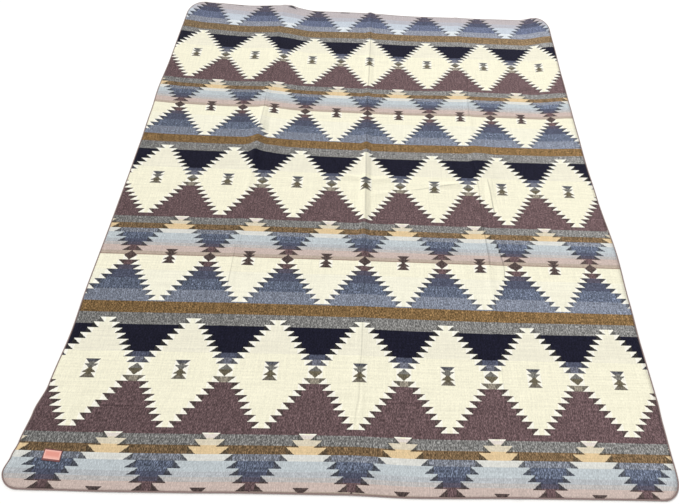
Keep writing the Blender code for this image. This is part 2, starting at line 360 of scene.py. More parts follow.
# Thread, and the flecks, streaks and slubs of the yarn: their sizes, how many stops of light they
# darken or pale it by, and the middle range of their noise that is stretched to that
THREAD = 0.0020
FLECK_WIDE = 0.0027
FLECK_LONG = 0.0070
FLECK_STOPS = 1.35
FLECK_RANGE = (0.38, 0.62)
STREAK_WIDE = 0.0065
STREAK_LONG = 0.0400
STREAK_STOPS = 0.45
STREAK_RANGE = (0.35, 0.65)
SLUB_LONG = 0.1200
SLUB_THICK = 0.0045
SLUB_STOPS = 0.07
SLUB_RANGE = (0.3, 0.7)
WARP_SLUB_THICK = 0.0055
WARP_SLUB_STOPS = 0.04

# The weave's relief: how deep and how strong it is, and how high the flecks stand in it
WEAVE_DEEP = 0.0006
WEAVE_BUMP = 0.6
FLECK_HIGH = 0.6

# The whipping: the pitch of its wraps, the rings of its surface and the points round each, how
# deep it dips between two wraps, how round a strand is, and the bead's lowest place
WRAP_PITCH = 0.0036
RING_STEP = 0.0008
RING_POINTS = 8
WRAP_DEEP = 0.22
WRAP_ROUND = 0.96
BEAD_LOWEST = 0.0001

# The fringe that pales the whipping's outer side, and its yarn's fibres: how many to a metre, the
# range of their noise, how bright that turns them, and their relief
FRINGE_FROM = 0.2
FRINGE_TO = 0.9
FRINGE_PALE = 0.7
YARN_FIBRES = 700.0
YARN_RANGE = (0.3, 0.7)
YARN_BRIGHT = (0.8, 1.2)
YARN_DEEP = 0.0003
YARN_BUMP = 0.5

# The rim: samples along a long side, and how many steps back and ahead give its direction
RIM_SAMPLES = 6000
RIM_LOOK = 3

# The label: its size, its place from the middle of the cloth, its turn and lean, its border with a
# paler band inside, its rim, which is pressed thin, and the fine ribs of its satin tape
LABEL_WIDE = 0.050
LABEL_DEEP = 0.030
LABEL_THICK = 0.0008
LABEL_ACROSS = -0.833
LABEL_ALONG = -1.052
LABEL_TURN = math.radians(-5.7)
LABEL_SKEW = 0.14
LABEL_CORNER = 0.0015
LABEL_BORDER = 0.0026
# Along the near side the border is painted wider: the border and a painted shadow along that side
LABEL_NEAR_BORDER_AND_SHADOW = 0.0050
LABEL_PALE_BAND = 0.0050
LABEL_LIFT = 0.0003
LABEL_RIM_THIN = 0.45
LABEL_RIM_PRESS = 0.0012
LABEL_COLUMNS = 53
LABEL_ROWS = 31
TAPE_RIB = 0.0007
TAPE_DEEP = 0.0001
TAPE_BUMP = 0.4
# Painted shade on the ribs: the tape is painted paler on each rib's crest and darker in its hollow
TAPE_RIB_SHADE = (0.9, 1.06)

# The stitches round the label: their pitch and size, the share of each that lies on the label, the
# power that rounds its arch, how thin its ends are, and its thread's fibres to a metre
STITCH_PITCH = 0.0022
STITCH_LONG = 0.0030
STITCH_THICK = 0.00035
STITCH_ON_LABEL = 0.62
STITCH_ARCH = 0.6
STITCH_END = 0.3
STITCH_RINGS = 7
STITCH_SIDES = 6
THREAD_FIBRES = 1500.0


def linear(hex_colour):
    """An sRGB hex colour as linear red, green, blue and 1."""
    channels = [int(hex_colour[i:i + 2], 16) / 255 for i in (1, 3, 5)]
    return (*[c / 12.92 if c <= 0.04045 else ((c + 0.055) / 1.055) ** 2.4 for c in channels], 1.0)


def between(where, places, values):
    """Value at each place of a smooth curve that passes level through the table's values."""
    where = np.clip(where, places[0], places[-1])
    places = np.array(places)
    values = np.array(values)
    left = np.clip(np.searchsorted(places, where) - 1, 0, len(places) - 2)
    part = (where - places[left]) / (places[left + 1] - places[left])
    ease = part * part * (3 - 2 * part)
    return values[left] + (values[left + 1] - values[left]) * ease


def lay(across, along):
    """Plan place of a point of the cloth: straight, plus its share of the edges' straying.

    Across, the share runs evenly from the left edge to the right one. Along, the near end's
    straying fades out over the nearest quarter and the far end's over the farther half.
    """
    to_right = np.clip(0.5 + across / WIDTH, 0, 1)
    rows = [side.along for side in SIDES]
    left = between(along, rows, [side.left for side in SIDES])
    right = between(along, rows, [side.right for side in SIDES])
    columns = [end.across for end in ENDS]
    near = between(across, columns, [end.near for end in ENDS])
    far = between(across, columns, [end.far for end in ENDS])
    near_share = np.clip(-along / (LENGTH / 2) * 2 - 1, 0, 1)
    far_share = np.clip(along / (LENGTH / 2), 0, 1)
    x = MIDDLE_X + across - left * (1 - to_right) + right * to_right
    y = MIDDLE_Y + along - near * near_share + far * far_share
    return x, y


def woven_place(across, along):
    """Place in the even pattern of each point of the cloth: its own place less its stray.

    The stray at a place across is shared out evenly between the two table columns beside it.
    Right of the tuck the pattern is moved on by what the tuck hides, which fades out evenly.
    """
    rows = [stray.along for stray in STRAYS]
    gap = STRAY_COLUMNS[1] - STRAY_COLUMNS[0]
    place = np.clip(across, STRAY_COLUMNS[0], STRAY_COLUMNS[-1])
    aside = np.zeros_like(across)
    beyond = np.zeros_like(across)
    for number, column in enumerate(STRAY_COLUMNS):
        share = np.clip(1 - np.abs(place - column) / gap, 0, 1)
        aside += share * between(along, rows, [stray.aside[number] for stray in STRAYS])
        beyond += share * between(along, rows, [stray.beyond[number] for stray in STRAYS])
    tucks = [tuck.along for tuck in TUCK]
    past = across - between(along, tucks, [tuck.across for tuck in TUCK])
    share = np.where(past > 0, np.clip(1 - past / TUCK_FADE, 0, 1), 0)
    aside -= between(along, tucks, [tuck.hidden for tuck in TUCK]) * share
    return across - aside, along - beyond


def ridges(x, y, folds):
    """Height of the fold ridges that pass a place, added up.

    Along a ridge the height is (1 - s^2)^2 with s the distance from its middle over its reach.
    Across it the height falls as a tent with a softly rounded crest.
    """
    total = np.zeros_like(x)
    blunt = math.sqrt(1 + CREST_SOFT ** 2)
    for fold in folds:
        angle = math.radians(fold.turn)
        right = x - MIDDLE_X - fold.right
        beyond = y - MIDDLE_Y - fold.beyond
        across = right * math.cos(angle) - beyond * math.sin(angle)
        along = right * math.sin(angle) + beyond * math.cos(angle)
        slope = np.where(across < 0, -across / fold.wide_left, across / fold.wide_right)
        tent = (blunt - np.sqrt(slope ** 2 + CREST_SOFT ** 2)) / (blunt - CREST_SOFT)
        fade = np.clip(1 - (along / fold.reach) ** 2, 0, 1) ** 2
        total += fold.high * np.clip(tent, 0, 1) ** CREST_POWER * fade
    return total


def cloth_height(x, y):
    """Height of the cloth's underside: folds, creases, and a swell of two crossed slow waves.

    A wave is 1 plus the sine of the lengths gone, swayed by the sine of the place along its crest.
    """
    swell = np.zeros_like(x)
    for wave, gone, crest in ((WAVE_ACROSS, x, y), (WAVE_ALONG, y, x)):
        turns = gone / wave.long + wave.sway * np.sin(wave.sways * crest) + wave.start
        swell += 1 + np.sin(2 * math.pi * turns)
    return ridges(x, y, FOLDS) + ridges(x, y, CREASES) + SWELL_HIGH * swell / 4


def pressed_place(across, along):
    """Signed distance of each point from the nearest pressed line, and that line's strength there.

    With t the share of the line that is passed, the strength is its own times 1 - (2t - 1)^6.
    It is nothing farther off than the reach, so that no line shows between two others.
    """
    aside = np.full_like(across, PRESSED_REACH)
    strength = np.zeros_like(across)
    for line in PRESSED:
        run_x = line.end[0] - line.start[0]
        run_y = line.end[1] - line.start[1]
        long = math.hypot(run_x, run_y)
        from_x = across - line.start[0]
        from_y = along - line.start[1]
        part = (from_x * run_x + from_y * run_y) / long ** 2
        off = (from_x * run_y - from_y * run_x) / long
        here = line.strength * np.clip(1 - (2 * part - 1) ** 6, 0, 1)
        nearer = (np.abs(off) < np.abs(aside)) & (here > 0)
        aside = np.where(nearer, off, aside)
        strength = np.where(nearer, here, strength)
    return aside, strength


def narrowing(along, inset):
    """How much a rounded corner takes off each side at a distance along the cloth."""
    half = LENGTH / 2 - inset
    taken = np.zeros_like(along)
    for corner, to_end in ((NEAR_CORNER, half + along), (FAR_CORNER, half - along)):
        round_in = np.clip(1 - to_end / (corner.along - inset), 0, 1)
        taken += (corner.across - inset) * (1 - np.sqrt(1 - round_in ** 2))
    return taken


def crowded(half, count, spots, crowd, reach):
    """Places from -half to half that crowd round some spots.

    The crowding is 1 plus a bell curve round each spot. It is summed up along the way, and the
    places are where the sum passes even shares of its whole.
    """
    fine = np.linspace(-half, half, CROWD_SAMPLES)
    bells = np.exp(-((fine[:, None] - np.array(spots)) / reach) ** 2).sum(axis=1)
    density = 1 + crowd * bells
    running = np.concatenate([[0], np.cumsum((density[1:] + density[:-1]) / 2)])
    return np.interp(np.linspace(0, running[-1], count), running, fine)


def cloth_places():
    """Grid of across and along places, its rows drawn in at the rounded corners."""
    half_wide = WIDTH / 2 - CLOTH_INSET
    half_long = LENGTH / 2 - CLOTH_INSET
    runs = [fold.right for fold in FOLDS + CREASES if abs(fold.turn) < 45]
    crossings = [fold.beyond for fold in FOLDS + CREASES if abs(fold.turn) > 45]
    ends = [-half_long, half_long]
    columns = crowded(half_wide, COLUMNS, sorted(set(runs)), FOLD_CROWD, FOLD_CROWD_REACH)
    rows = crowded(half_long, ROWS, sorted(set(crossings)) + ends, END_CROWD, END_CROWD_REACH)
    across, along = np.meshgrid(columns, rows)
    fixed = half_wide - CORNER_ZONE
    outer = np.clip((np.abs(across) - fixed) / CORNER_ZONE, 0, 1)
    across = across - np.sign(across) * outer * narrowing(along, CLOTH_INSET)
    return across, along


def new_piece(name, points, faces, materials, smooth=True):
    """A mesh object at the origin from an array of points and lists of faces."""
    mesh = bpy.data.meshes.new(name)
    mesh.from_pydata(points.reshape(-1, 3).tolist(), [], faces)
    for material in materials:
        mesh.materials.append(material)
    mesh.polygons.foreach_set("use_smooth", np.full(len(mesh.polygons), smooth))
    mesh.update()
    piece = bpy.data.objects.new(name, mesh)
    bpy.context.scene.collection.objects.link(piece)
    return piece


def keep_vector(piece, name, parts, layers=1):
    """Stores a vector for each point of a piece, the same on each layer, for its material."""
    values = np.stack(parts, axis=-1).reshape(-1, 3).astype(np.float32)
    kept = piece.data.attributes.new(name, "FLOAT_VECTOR", "POINT")
    kept.data.foreach_set("vector", np.tile(values, (layers, 1)).ravel())


def grid_quads(rows, columns, first=0):
    """Corner numbers of a grid's cells, anticlockwise seen from above."""
    corner = first + np.arange(rows * columns).reshape(rows, columns)
    cells = [corner[:-1, :-1], corner[:-1, 1:], corner[1:, 1:], corner[1:, :-1]]
    return np.stack(cells, axis=-1).reshape(-1, 4)


def sheet_quads(rows, columns):
    """Corner numbers of a closed sheet of two grids: its upper side, its rim and its underside."""
    count = rows * columns
    corner = np.arange(count).reshape(rows, columns)
    rim = np.concatenate([corner[0, :-1], corner[:-1, -1], corner[-1, :0:-1], corner[:0:-1, 0]])
    after = np.roll(rim, -1)
    upper = grid_quads(rows, columns, first=count)
    edge = np.stack([rim, after, count + after, count + rim], axis=-1)
    under = grid_quads(rows, columns)[:, ::-1]
    return np.concatenate([upper, edge, under])


def tube_quads(rings, sides, closed):
    """Corner numbers of a tube's faces, ring after ring, back to the first if it is closed."""
    corner = np.arange(rings * sides).reshape(rings, sides)
    after = np.roll(corner, -1, axis=0)
    if not closed:
        corner, after = corner[:-1], after[:-1]
    cells = [corner, after, np.roll(after, -1, axis=1), np.roll(corner, -1, axis=1)]
    return np.stack(cells, axis=-1).reshape(-1, 4)


def add(tree, kind, *feeds, output=0, **settings):
    """Adds a shader node: settings by name, then its inputs in order, each a value or a socket.

    A noise takes its place, scale, detail and roughness. A range takes its value, where that lies
    and where it goes.
    """
    node = tree.nodes.new("ShaderNode" + kind)
    for name, value in settings.items():
        setattr(node, name, value)
    open_inputs = [place for place in node.inputs if place.enabled]
    for place, feed in zip(open_inputs, feeds):
        if isinstance(feed, bpy.types.NodeSocket):
            tree.links.new(feed, place)
        elif feed is not None:
            place.default_value = feed
    return [place for place in node.outputs if place.enabled][output]


def finish_of(name, roughness, sheen, specular=0.25):
    """A new material: its node tree and its shader, with the numbers that are even all over."""
    material = bpy.data.materials.new(name)
    material.use_nodes = True
    shader = material.node_tree.nodes["Principled BSDF"]
    shader.inputs["Roughness"].default_value = roughness
    shader.inputs["Specular IOR Level"].default_value = specular
    shader.inputs["Sheen Weight"].default_value = sheen
    shader.inputs["Sheen Roughness"].default_value = 0.5
    return material, material.node_tree, shader


def stripe_ramp(tree, place, stripes, side):
    """The weft yarn at a place in the repeat: its colour, and its heather strength as alpha."""
    node = tree.nodes.new("ShaderNodeValToRGB")
    node.color_ramp.interpolation = "CONSTANT"
    tree.links.new(place, node.inputs[0])
    stops = node.color_ramp.elements
    before = None
    for stripe in stripes:
        name = getattr(stripe, side)
        if name == before:
            continue
        stop = stops[0] if before is None else stops.new(stripe.start / ROW_REPEAT)
        stop.position = stripe.start / ROW_REPEAT
        stop.color = (*linear(YARNS[name].colour)[:3], YARNS[name].heather)
        before = name
    # A new ramp has a stop at its end, which no stripe uses
    stops.remove(stops[len(stops) - 1])
    return node.outputs["Color"], node.outputs["Alpha"]


def woven(name, swapped):
    """Brushed alpaca double cloth: dull, soft, and lit up at grazing angles by its raised nap.

    A figure is a stack of steps that mirrors at its middle row. Each step starts at an inner half
    width, widens in a slanting tooth and then drops back. The eye at the middle is two such steps
    in the ground's yarn. Both yarns change together in stripes along the cloth. The back of the
    cloth shows the two yarns swapped.
    """
    material, tree, shader = finish_of(name, roughness=0.95, sheen=0.03, specular=0.10)
    place = add(tree, "Attribute", attribute_name="cloth_place", output=1)
    parts = add(tree, "SeparateXYZ", place).node.outputs
    across = parts[0]
    along = parts[1]

    # Edges step from thread to thread
    column = add(tree, "Math", across, THREAD, operation="SNAP")
    column = add(tree, "Math", column, THREAD / 2, operation="ADD")
    pick = add(tree, "Math", along, THREAD, operation="SNAP")
    pick = add(tree, "Math", pick, THREAD / 2, operation="ADD")

    # Distances from the middle of the nearest figure, in a plain or a staggered row
    aside = add(tree, "Math", column, COLUMN_PITCH / 2, operation="PINGPONG")
    plain = add(tree, "Math", pick, FIRST_ROW, operation="SUBTRACT")
    plain = add(tree, "Math", plain, ROW_REPEAT / 2, operation="PINGPONG")
    beyond_staggered = add(tree, "Math", pick, STAGGERED_ROW, operation="SUBTRACT")
    staggered = add(tree, "Math", beyond_staggered, ROW_REPEAT / 2, operation="PINGPONG")
    is_staggered = add(tree, "Math", staggered, plain, operation="LESS_THAN")
    turned = add(tree, "Math", aside, -2.0, COLUMN_PITCH / 2, operation="MULTIPLY_ADD")
    aside = add(tree, "Math", is_staggered, turned, aside, operation="MULTIPLY_ADD")
    beyond = add(tree, "Math", plain, staggered, operation="MINIMUM")

    # The toothed figure, and the eye that is left out of it. The two cloths change places at
    # each tooth, and their threads pack close there.
    shapes = []
    bands = []
    for deep, inner, inner_gain, tooth, tooth_gain, tooth_bend, steps, loose in (
        (STEP_DEEP, STEP_INNER, -STEP_INNER_LOSS, TOOTH_LONG, TOOTH_GAIN, -TOOTH_BEND, STEPS, 1.0),
        (EYE_DEEP, EYE_WAIST, EYE_INNER, EYE_TOOTH, -EYE_INNER, 0.0, EYE_STEPS, 0.0),
    ):
        gone = add(tree, "Math", beyond, deep, operation="DIVIDE")
        step = add(tree, "Math", gone, operation="FLOOR")
        part = add(tree, "Math", gone, operation="FRACT")
        gain = add(tree, "Math", step, tooth_bend, tooth_gain, operation="MULTIPLY_ADD")
        slant = add(tree, "Math", step, gain, tooth, operation="MULTIPLY_ADD")
        start = add(tree, "Math", step, inner_gain, inner, operation="MULTIPLY_ADD")
        half_width = add(tree, "Math", part, slant, start, operation="MULTIPLY_ADD")
        inside = add(tree, "Math", aside, half_width, operation="LESS_THAN")
        reached = add(tree, "Math", gone, steps, operation="LESS_THAN")
        shapes.append(add(tree, "Math", inside, reached, operation="MULTIPLY"))
        packed_from = add(tree, "Math", start, loose, operation="MULTIPLY")
        past_start = add(tree, "Math", aside, packed_from, operation="GREATER_THAN")
        tip = add(tree, "Math", start, slant, operation="ADD")
        before_tip = add(tree, "Math", aside, tip, operation="LESS_THAN")
        toothed = add(tree, "Math", past_start, before_tip, operation="MULTIPLY")
        bands.append(add(tree, "Math", toothed, reached, operation="MULTIPLY"))
    figure = add(tree, "Math", shapes[0], shapes[1], operation="SUBTRACT", use_clamp=True)
    toothed = add(tree, "Math", bands[0], bands[1], operation="MAXIMUM")

    # Stripes of yarn along the cloth
    repeat = add(tree, "Math", beyond_staggered, ROW_REPEAT, operation="DIVIDE")
    repeat = add(tree, "Math", repeat, operation="FRACT")
    is_far = add(tree, "Math", along, FAR_STRIPES_FROM, operation="GREATER_THAN")
    yarns = []
    for side in ("ground", "figure"):
        near_yarn, near_heather = stripe_ramp(tree, repeat, STRIPES, side)
        far_yarn, far_heather = stripe_ramp(tree, repeat, FAR_STRIPES, side)
        colour = add(tree, "Mix", is_far, near_yarn, far_yarn, data_type="RGBA")
        heather = add(tree, "Mix", is_far, near_heather, far_heather)
        yarns.append((colour, heather))
    if swapped:
        yarns.reverse()
    packed = add(tree, "Math", toothed, TOOTH_PACKED, operation="MULTIPLY")
    grounds = add(tree, "Mix", packed, yarns[0][0], linear(PACKED_DARK), data_type="RGBA")
    undyed = add(tree, "Math", yarns[1][1], UNDYED_HEATHER, operation="LESS_THAN")
    paling = add(tree, "Math", packed, undyed, operation="MULTIPLY")
    figures = add(tree, "Mix", paling, yarns[1][0], linear(PACKED_PALE), data_type="RGBA")
    colour = add(tree, "Mix", figure, grounds, figures, data_type="RGBA")
    heather = add(tree, "Mix", figure, yarns[0][1], yarns[1][1])

    # Heather: short flecks of the lighter and the darker fibre, drawn out along the warp
    fleck_size = (1 / FLECK_WIDE, 1 / FLECK_LONG, 1.0)
    fleck = add(tree, "VectorMath", place, fleck_size, operation="MULTIPLY")
    fleck = add(tree, "TexNoise", fleck, 1.0, 2.0, 0.6)
    fleck = add(tree, "MapRange", fleck, *FLECK_RANGE, -FLECK_STOPS, FLECK_STOPS)
    streak_size = (1 / STREAK_WIDE, 1 / STREAK_LONG, 1.0)
    streak = add(tree, "VectorMath", place, streak_size, operation="MULTIPLY")
    streak = add(tree, "TexNoise", streak, 1.0, 1.0, 0.5)
    streak = add(tree, "MapRange", streak, *STREAK_RANGE, -STREAK_STOPS, STREAK_STOPS)
    # Painted light: heather painted paler to the right and to the far end, darker to the left and
    # near end
    painted_light = add(tree, "MapRange", across, -WIDTH / 2, WIDTH / 2, -PAINTED_LIGHT_RIGHT, PAINTED_LIGHT_RIGHT)
    painted_light_far = add(tree, "MapRange", along, -LENGTH / 2, LENGTH / 2, -PAINTED_LIGHT_FAR, PAINTED_LIGHT_FAR)
    painted_light = add(tree, "Math", painted_light, painted_light_far, operation="ADD")
    fleck_stops = add(tree, "Math", fleck, painted_light, operation="ADD")
    fleck_stops = add(tree, "Math", fleck_stops, streak, operation="ADD")
    fleck_stops = add(tree, "Math", fleck_stops, heather, operation="MULTIPLY")

    # Slubs: threads that are a little thicker or paler run straight across and, fainter, along
    stops = fleck_stops
    for slub_size, slub_stops in (
        ((1 / SLUB_LONG, 1 / SLUB_THICK, 1.0), SLUB_STOPS),
        ((1 / WARP_SLUB_THICK, 1 / SLUB_LONG, 1.0), WARP_SLUB_STOPS),
    ):
        slub = add(tree, "VectorMath", place, slub_size, operation="MULTIPLY")
        slub = add(tree, "TexNoise", slub, 1.0, 1.0, 0.5)
        slub = add(tree, "MapRange", slub, *SLUB_RANGE, -slub_stops, slub_stops)
        stops = add(tree, "Math", stops, slub, operation="ADD")

    # Pressed lines: painted shade darkens the line itself, and painted light pales its one side
    pressed = add(tree, "Attribute", attribute_name="pressed_place", output=1)
    parts = add(tree, "SeparateXYZ", pressed).node.outputs
    off = parts[0]
    strength = parts[1]
    beside = add(tree, "Math", off, CREASE_LIGHT_ASIDE, operation="ADD")
    beside = add(tree, "Math", beside, operation="ABSOLUTE")
    beside = add(tree, "MapRange", beside, 0.0, CREASE_LIGHT_HALF_WIDE, CREASE_LIGHT_STOPS, 0.0)
    off = add(tree, "Math", off, operation="ABSOLUTE")
    line = add(tree, "MapRange", off, 0.0, PRESSED_HALF_WIDE, 1.0, 0.0)
    crease_shade_and_light = add(tree, "Math", line, -CREASE_SHADE_STOPS, beside, operation="MULTIPLY_ADD")
    stops = add(tree, "Math", crease_shade_and_light, strength, stops, operation="MULTIPLY_ADD")
    bright = add(tree, "Math", 2.0, stops, operation="POWER")
    colour = add(tree, "VectorMath", colour, bright, operation="SCALE")
    tree.links.new(colour, shader.inputs["Base Color"])

    # Weave: crossed threads a thread apart, under the lie of the nap
    over = add(tree, "Math", across, math.pi / THREAD, operation="MULTIPLY")
    over = add(tree, "Math", over, operation="SINE")
    under = add(tree, "Math", along, math.pi / THREAD, operation="MULTIPLY")
    under = add(tree, "Math", under, operation="SINE")
    crossing = add(tree, "Math", over, under, operation="MULTIPLY")
    height = add(tree, "Math", fleck, FLECK_HIGH, crossing, operation="MULTIPLY_ADD")
    groove = add(tree, "Math", line, strength, operation="MULTIPLY")
    height = add(tree, "Math", groove, -1.0, height, operation="MULTIPLY_ADD")
    bump = tree.nodes.new("ShaderNodeBump")
    bump.inputs["Strength"].default_value = WEAVE_BUMP
    bump.inputs["Distance"].default_value = WEAVE_DEEP
    tree.links.new(height, bump.inputs["Height"])
    tree.links.new(bump.outputs["Normal"], shader.inputs["Normal"])
    return material


def whipped():
    """Mauve-brown acrylic yarn in close wraps: dull, with painted shade between the wraps, paler
    where frayed.
    """
    material, tree, shader = finish_of("whipped edging yarn", roughness=0.9, sheen=0.15)
    place = add(tree, "Attribute", attribute_name="wrap_place", output=1)
    parts = add(tree, "SeparateXYZ", place).node.outputs
    relief = parts[1]
    outwards = parts[2]
    dark = linear("#544442")
    plain = linear("#8A7672")
    frayed = linear("#BAAAA6")
    # Painted shade: the yarn is painted darker where its surface dips between two wraps
    colour = add(tree, "Mix", relief, dark, plain, data_type="RGBA")
    fibre_place = add(tree, "TexCoord", output=3)
    fibre = add(tree, "TexNoise", fibre_place, YARN_FIBRES, 2.0, 0.6)
    fringe = add(tree, "MapRange", outwards, FRINGE_FROM, FRINGE_TO, 0.0, FRINGE_PALE)
    colour = add(tree, "Mix", fringe, colour, frayed, data_type="RGBA")
    bright = add(tree, "MapRange", fibre, *YARN_RANGE, *YARN_BRIGHT)
    colour = add(tree, "VectorMath", colour, bright, operation="SCALE")
    tree.links.new(colour, shader.inputs["Base Color"])
    bump = tree.nodes.new("ShaderNodeBump")
    bump.inputs["Strength"].default_value = YARN_BUMP
    bump.inputs["Distance"].default_value = YARN_DEEP
    tree.links.new(fibre, bump.inputs["Height"])
    tree.links.new(bump.outputs["Normal"], shader.inputs["Normal"])
    return material


def label_tape():
    """Damask-woven polyester tape: a fine satin face, pink in a dark red-brown border."""
    material, tree, shader = finish_of("damask label tape", roughness=0.6, sheen=0.1, specular=0.4)
    place = add(tree, "Attribute", attribute_name="tape_place", output=1)
    parts = add(tree, "SeparateXYZ", place).node.outputs
    along = parts[1]
    to_edge = parts[2]
    pink = linear("#DF9384")
    pale_pink = linear("#F3BDB0")
    red_brown = linear("#7A4444")
    # On the near side the border is wider, where it also paints the shadow along that side
    in_border = add(tree, "Math", to_edge, LABEL_BORDER, operation="LESS_THAN")
    band_end = LABEL_BORDER + LABEL_PALE_BAND
    paler = add(tree, "MapRange", to_edge, LABEL_BORDER, band_end, 1.0, 0.0)
    face = add(tree, "Mix", paler, pink, pale_pink, data_type="RGBA")
    colour = add(tree, "Mix", in_border, face, red_brown, data_type="RGBA")
    # Painted shade: each rib is painted paler on its crest and darker in its hollow, as its bump
    # rises and falls
    rib = add(tree, "Math", along, 2 * math.pi / TAPE_RIB, operation="MULTIPLY")
    rib = add(tree, "Math", rib, operation="SINE")
    bright = add(tree, "MapRange", rib, -1.0, 1.0, *TAPE_RIB_SHADE)
    colour = add(tree, "VectorMath", colour, bright, operation="SCALE")
    tree.links.new(colour, shader.inputs["Base Color"])
    bump = tree.nodes.new("ShaderNodeBump")
    bump.inputs["Strength"].default_value = TAPE_BUMP
    bump.inputs["Distance"].default_value = TAPE_DEEP
    tree.links.new(rib, bump.inputs["Height"])
    tree.links.new(bump.outputs["Normal"], shader.inputs["Normal"])
    return material


def label_thread():
    """Twisted sewing thread: dark red-brown, with a slight sheen and its own twist."""
    material, tree, shader = finish_of("label sewing thread", roughness=0.7, sheen=0.1)
    place = add(tree, "TexCoord", output=3)
    twist = add(tree, "TexNoise", place, THREAD_FIBRES, 1.0, 0.5)
    dark = linear("#4E2C2E")
    light = linear("#8A5654")
    colour = add(tree, "Mix", twist, dark, light, data_type="RGBA")
    tree.links.new(colour, shader.inputs["Base Color"])
    return material


def build_cloth(materials):
    """The woven cloth: a sheet of even thickness over its folds, closed round its raw edge."""
    across, along = cloth_places()
    x, y = lay(across, along)
    z = cloth_height(x, y)
    under = np.stack([x, y, z], axis=-1).reshape(-1, 3)
    points = np.concatenate([under, under + (0, 0, CLOTH_THICK)])
    faces = sheet_quads(ROWS, COLUMNS).tolist()
    piece = new_piece("alpaca_cloth", points, faces, materials)
    under_faces = (ROWS - 1) * (COLUMNS - 1)
    side = np.zeros(len(faces), dtype=np.int32)
    side[-under_faces:] = 1
    piece.data.polygons.foreach_set("material_index", side)
    none = np.zeros_like(across)
    keep_vector(piece, "cloth_place", [*woven_place(across, along), none], layers=2)
    keep_vector(piece, "pressed_place", [*pressed_place(across, along), none], layers=2)
    return piece


def rim_line(inset, step):
    """Points at even steps round the cloth, anticlockwise, and the outward direction at each."""
    half_wide = WIDTH / 2 - inset
    half_long = LENGTH / 2 - inset
    turn = np.linspace(0, math.pi, RIM_SAMPLES)
    along = -half_long * np.cos(turn)
    side = half_wide - narrowing(along, inset)
    near = np.linspace(-side[0], side[0], RIM_SAMPLES // 2)[1:-1]
    far = np.linspace(side[-1], -side[-1], RIM_SAMPLES // 2)[1:-1]
    across = np.concatenate([near, side, far, -side[::-1]])
    places = [np.full_like(near, -half_long), along, np.full_like(far, half_long), along[::-1]]
    x, y = lay(across, np.concatenate(places))
    x = np.append(x, x[0])
    y = np.append(y, y[0])
    gone = np.concatenate([[0], np.cumsum(np.hypot(np.diff(x), np.diff(y)))])
    count = round(gone[-1] / step)
    stops = np.linspace(0, gone[-1], count, endpoint=False)
    x = np.interp(stops, gone, x)
    y = np.interp(stops, gone, y)
    ahead_x = np.roll(x, -RIM_LOOK) - np.roll(x, RIM_LOOK)
    ahead_y = np.roll(y, -RIM_LOOK) - np.roll(y, RIM_LOOK)
    length = np.hypot(ahead_x, ahead_y)
    return stops, gone[-1], x, y, ahead_y / length, -ahead_x / length


def build_whipping(material):
    """The yarn whipped over the raw edge: a bead whose surface swells with each slanting wrap.

    The bead is a flat-bottomed ellipse carried round the rim. A wrap takes one pitch to go once
    round the bead, and between two wraps the surface dips as two round strands do.
    """
    run, whole, x, y, out_x, out_y = rim_line(EDGE_INSET, RING_STEP)
    pitch = whole / round(whole / WRAP_PITCH)
    turn = np.arange(RING_POINTS) / RING_POINTS * 2 * math.pi
    phase = run[:, None] / pitch + turn[None, :] / (2 * math.pi)
    part = 2 * (phase - np.floor(phase)) - 1
    relief = np.sqrt(1 - WRAP_ROUND * part ** 2)
    swell = 1 - WRAP_DEEP * (1 - relief)
    out = EDGE_HALF_WIDE * np.cos(turn) * swell
    up = EDGE_HALF_HIGH * np.sin(turn) * swell
    height = np.maximum(EDGE_HALF_HIGH + up, BEAD_LOWEST)
    bead_x = x[:, None] + out_x[:, None] * out
    bead_y = y[:, None] + out_y[:, None] * out
    bead_z = cloth_height(x, y)[:, None] + height
    points = np.stack([bead_x, bead_y, bead_z], axis=-1)
    faces = tube_quads(len(run), RING_POINTS, closed=True).tolist()
    piece = new_piece("whipped_edging", points, faces, [material])
    outwards = np.broadcast_to(np.cos(turn), relief.shape)
    along = np.broadcast_to(run[:, None], relief.shape)
    keep_vector(piece, "wrap_place", [along, relief, outwards])
    return piece


def on_label(right, beyond):
    """Turns places on the label, measured from its middle, to places on the blanket."""
    right = right - LABEL_SKEW * beyond
    x = MIDDLE_X + LABEL_ACROSS + right * math.cos(LABEL_TURN) - beyond * math.sin(LABEL_TURN)
    y = MIDDLE_Y + LABEL_ALONG + right * math.sin(LABEL_TURN) + beyond * math.cos(LABEL_TURN)
    return x, y


def build_label(material):
    """The label: a thin tab with rounded corners that follows the cloth, its rim pressed down."""
    half_wide = LABEL_WIDE / 2
    half_deep = LABEL_DEEP / 2
    right, beyond = np.meshgrid(
        np.linspace(-half_wide, half_wide, LABEL_COLUMNS),
        np.linspace(-half_deep, half_deep, LABEL_ROWS),
    )
    round_in = np.clip(1 - (half_deep - np.abs(beyond)) / LABEL_CORNER, 0, 1)
    taken = LABEL_CORNER * (1 - np.sqrt(1 - round_in ** 2))
    right = right * (1 - taken / half_wide)
    to_edge = np.minimum(half_wide - taken - np.abs(right), half_deep - np.abs(beyond))
    # The near side's border is widened to paint the shadow along that side as well
    near_border_and_shadow = (half_deep + beyond) * LABEL_BORDER / LABEL_NEAR_BORDER_AND_SHADOW
    x, y = on_label(right, beyond)
    floor = cloth_height(x, y) + CLOTH_THICK + LABEL_LIFT
    full = 1 - (1 - LABEL_RIM_THIN) * np.exp(-to_edge / LABEL_RIM_PRESS)
    under = np.stack([x, y, floor], axis=-1).reshape(-1, 3)
    upper = np.stack([x, y, floor + LABEL_THICK * full], axis=-1).reshape(-1, 3)
    faces = sheet_quads(LABEL_ROWS, LABEL_COLUMNS).tolist()
    piece = new_piece("label_tab", np.concatenate([under, upper]), faces, [material])
    keep_vector(piece, "tape_place", [right, beyond, np.minimum(to_edge, near_border_and_shadow)], layers=2)
    return piece


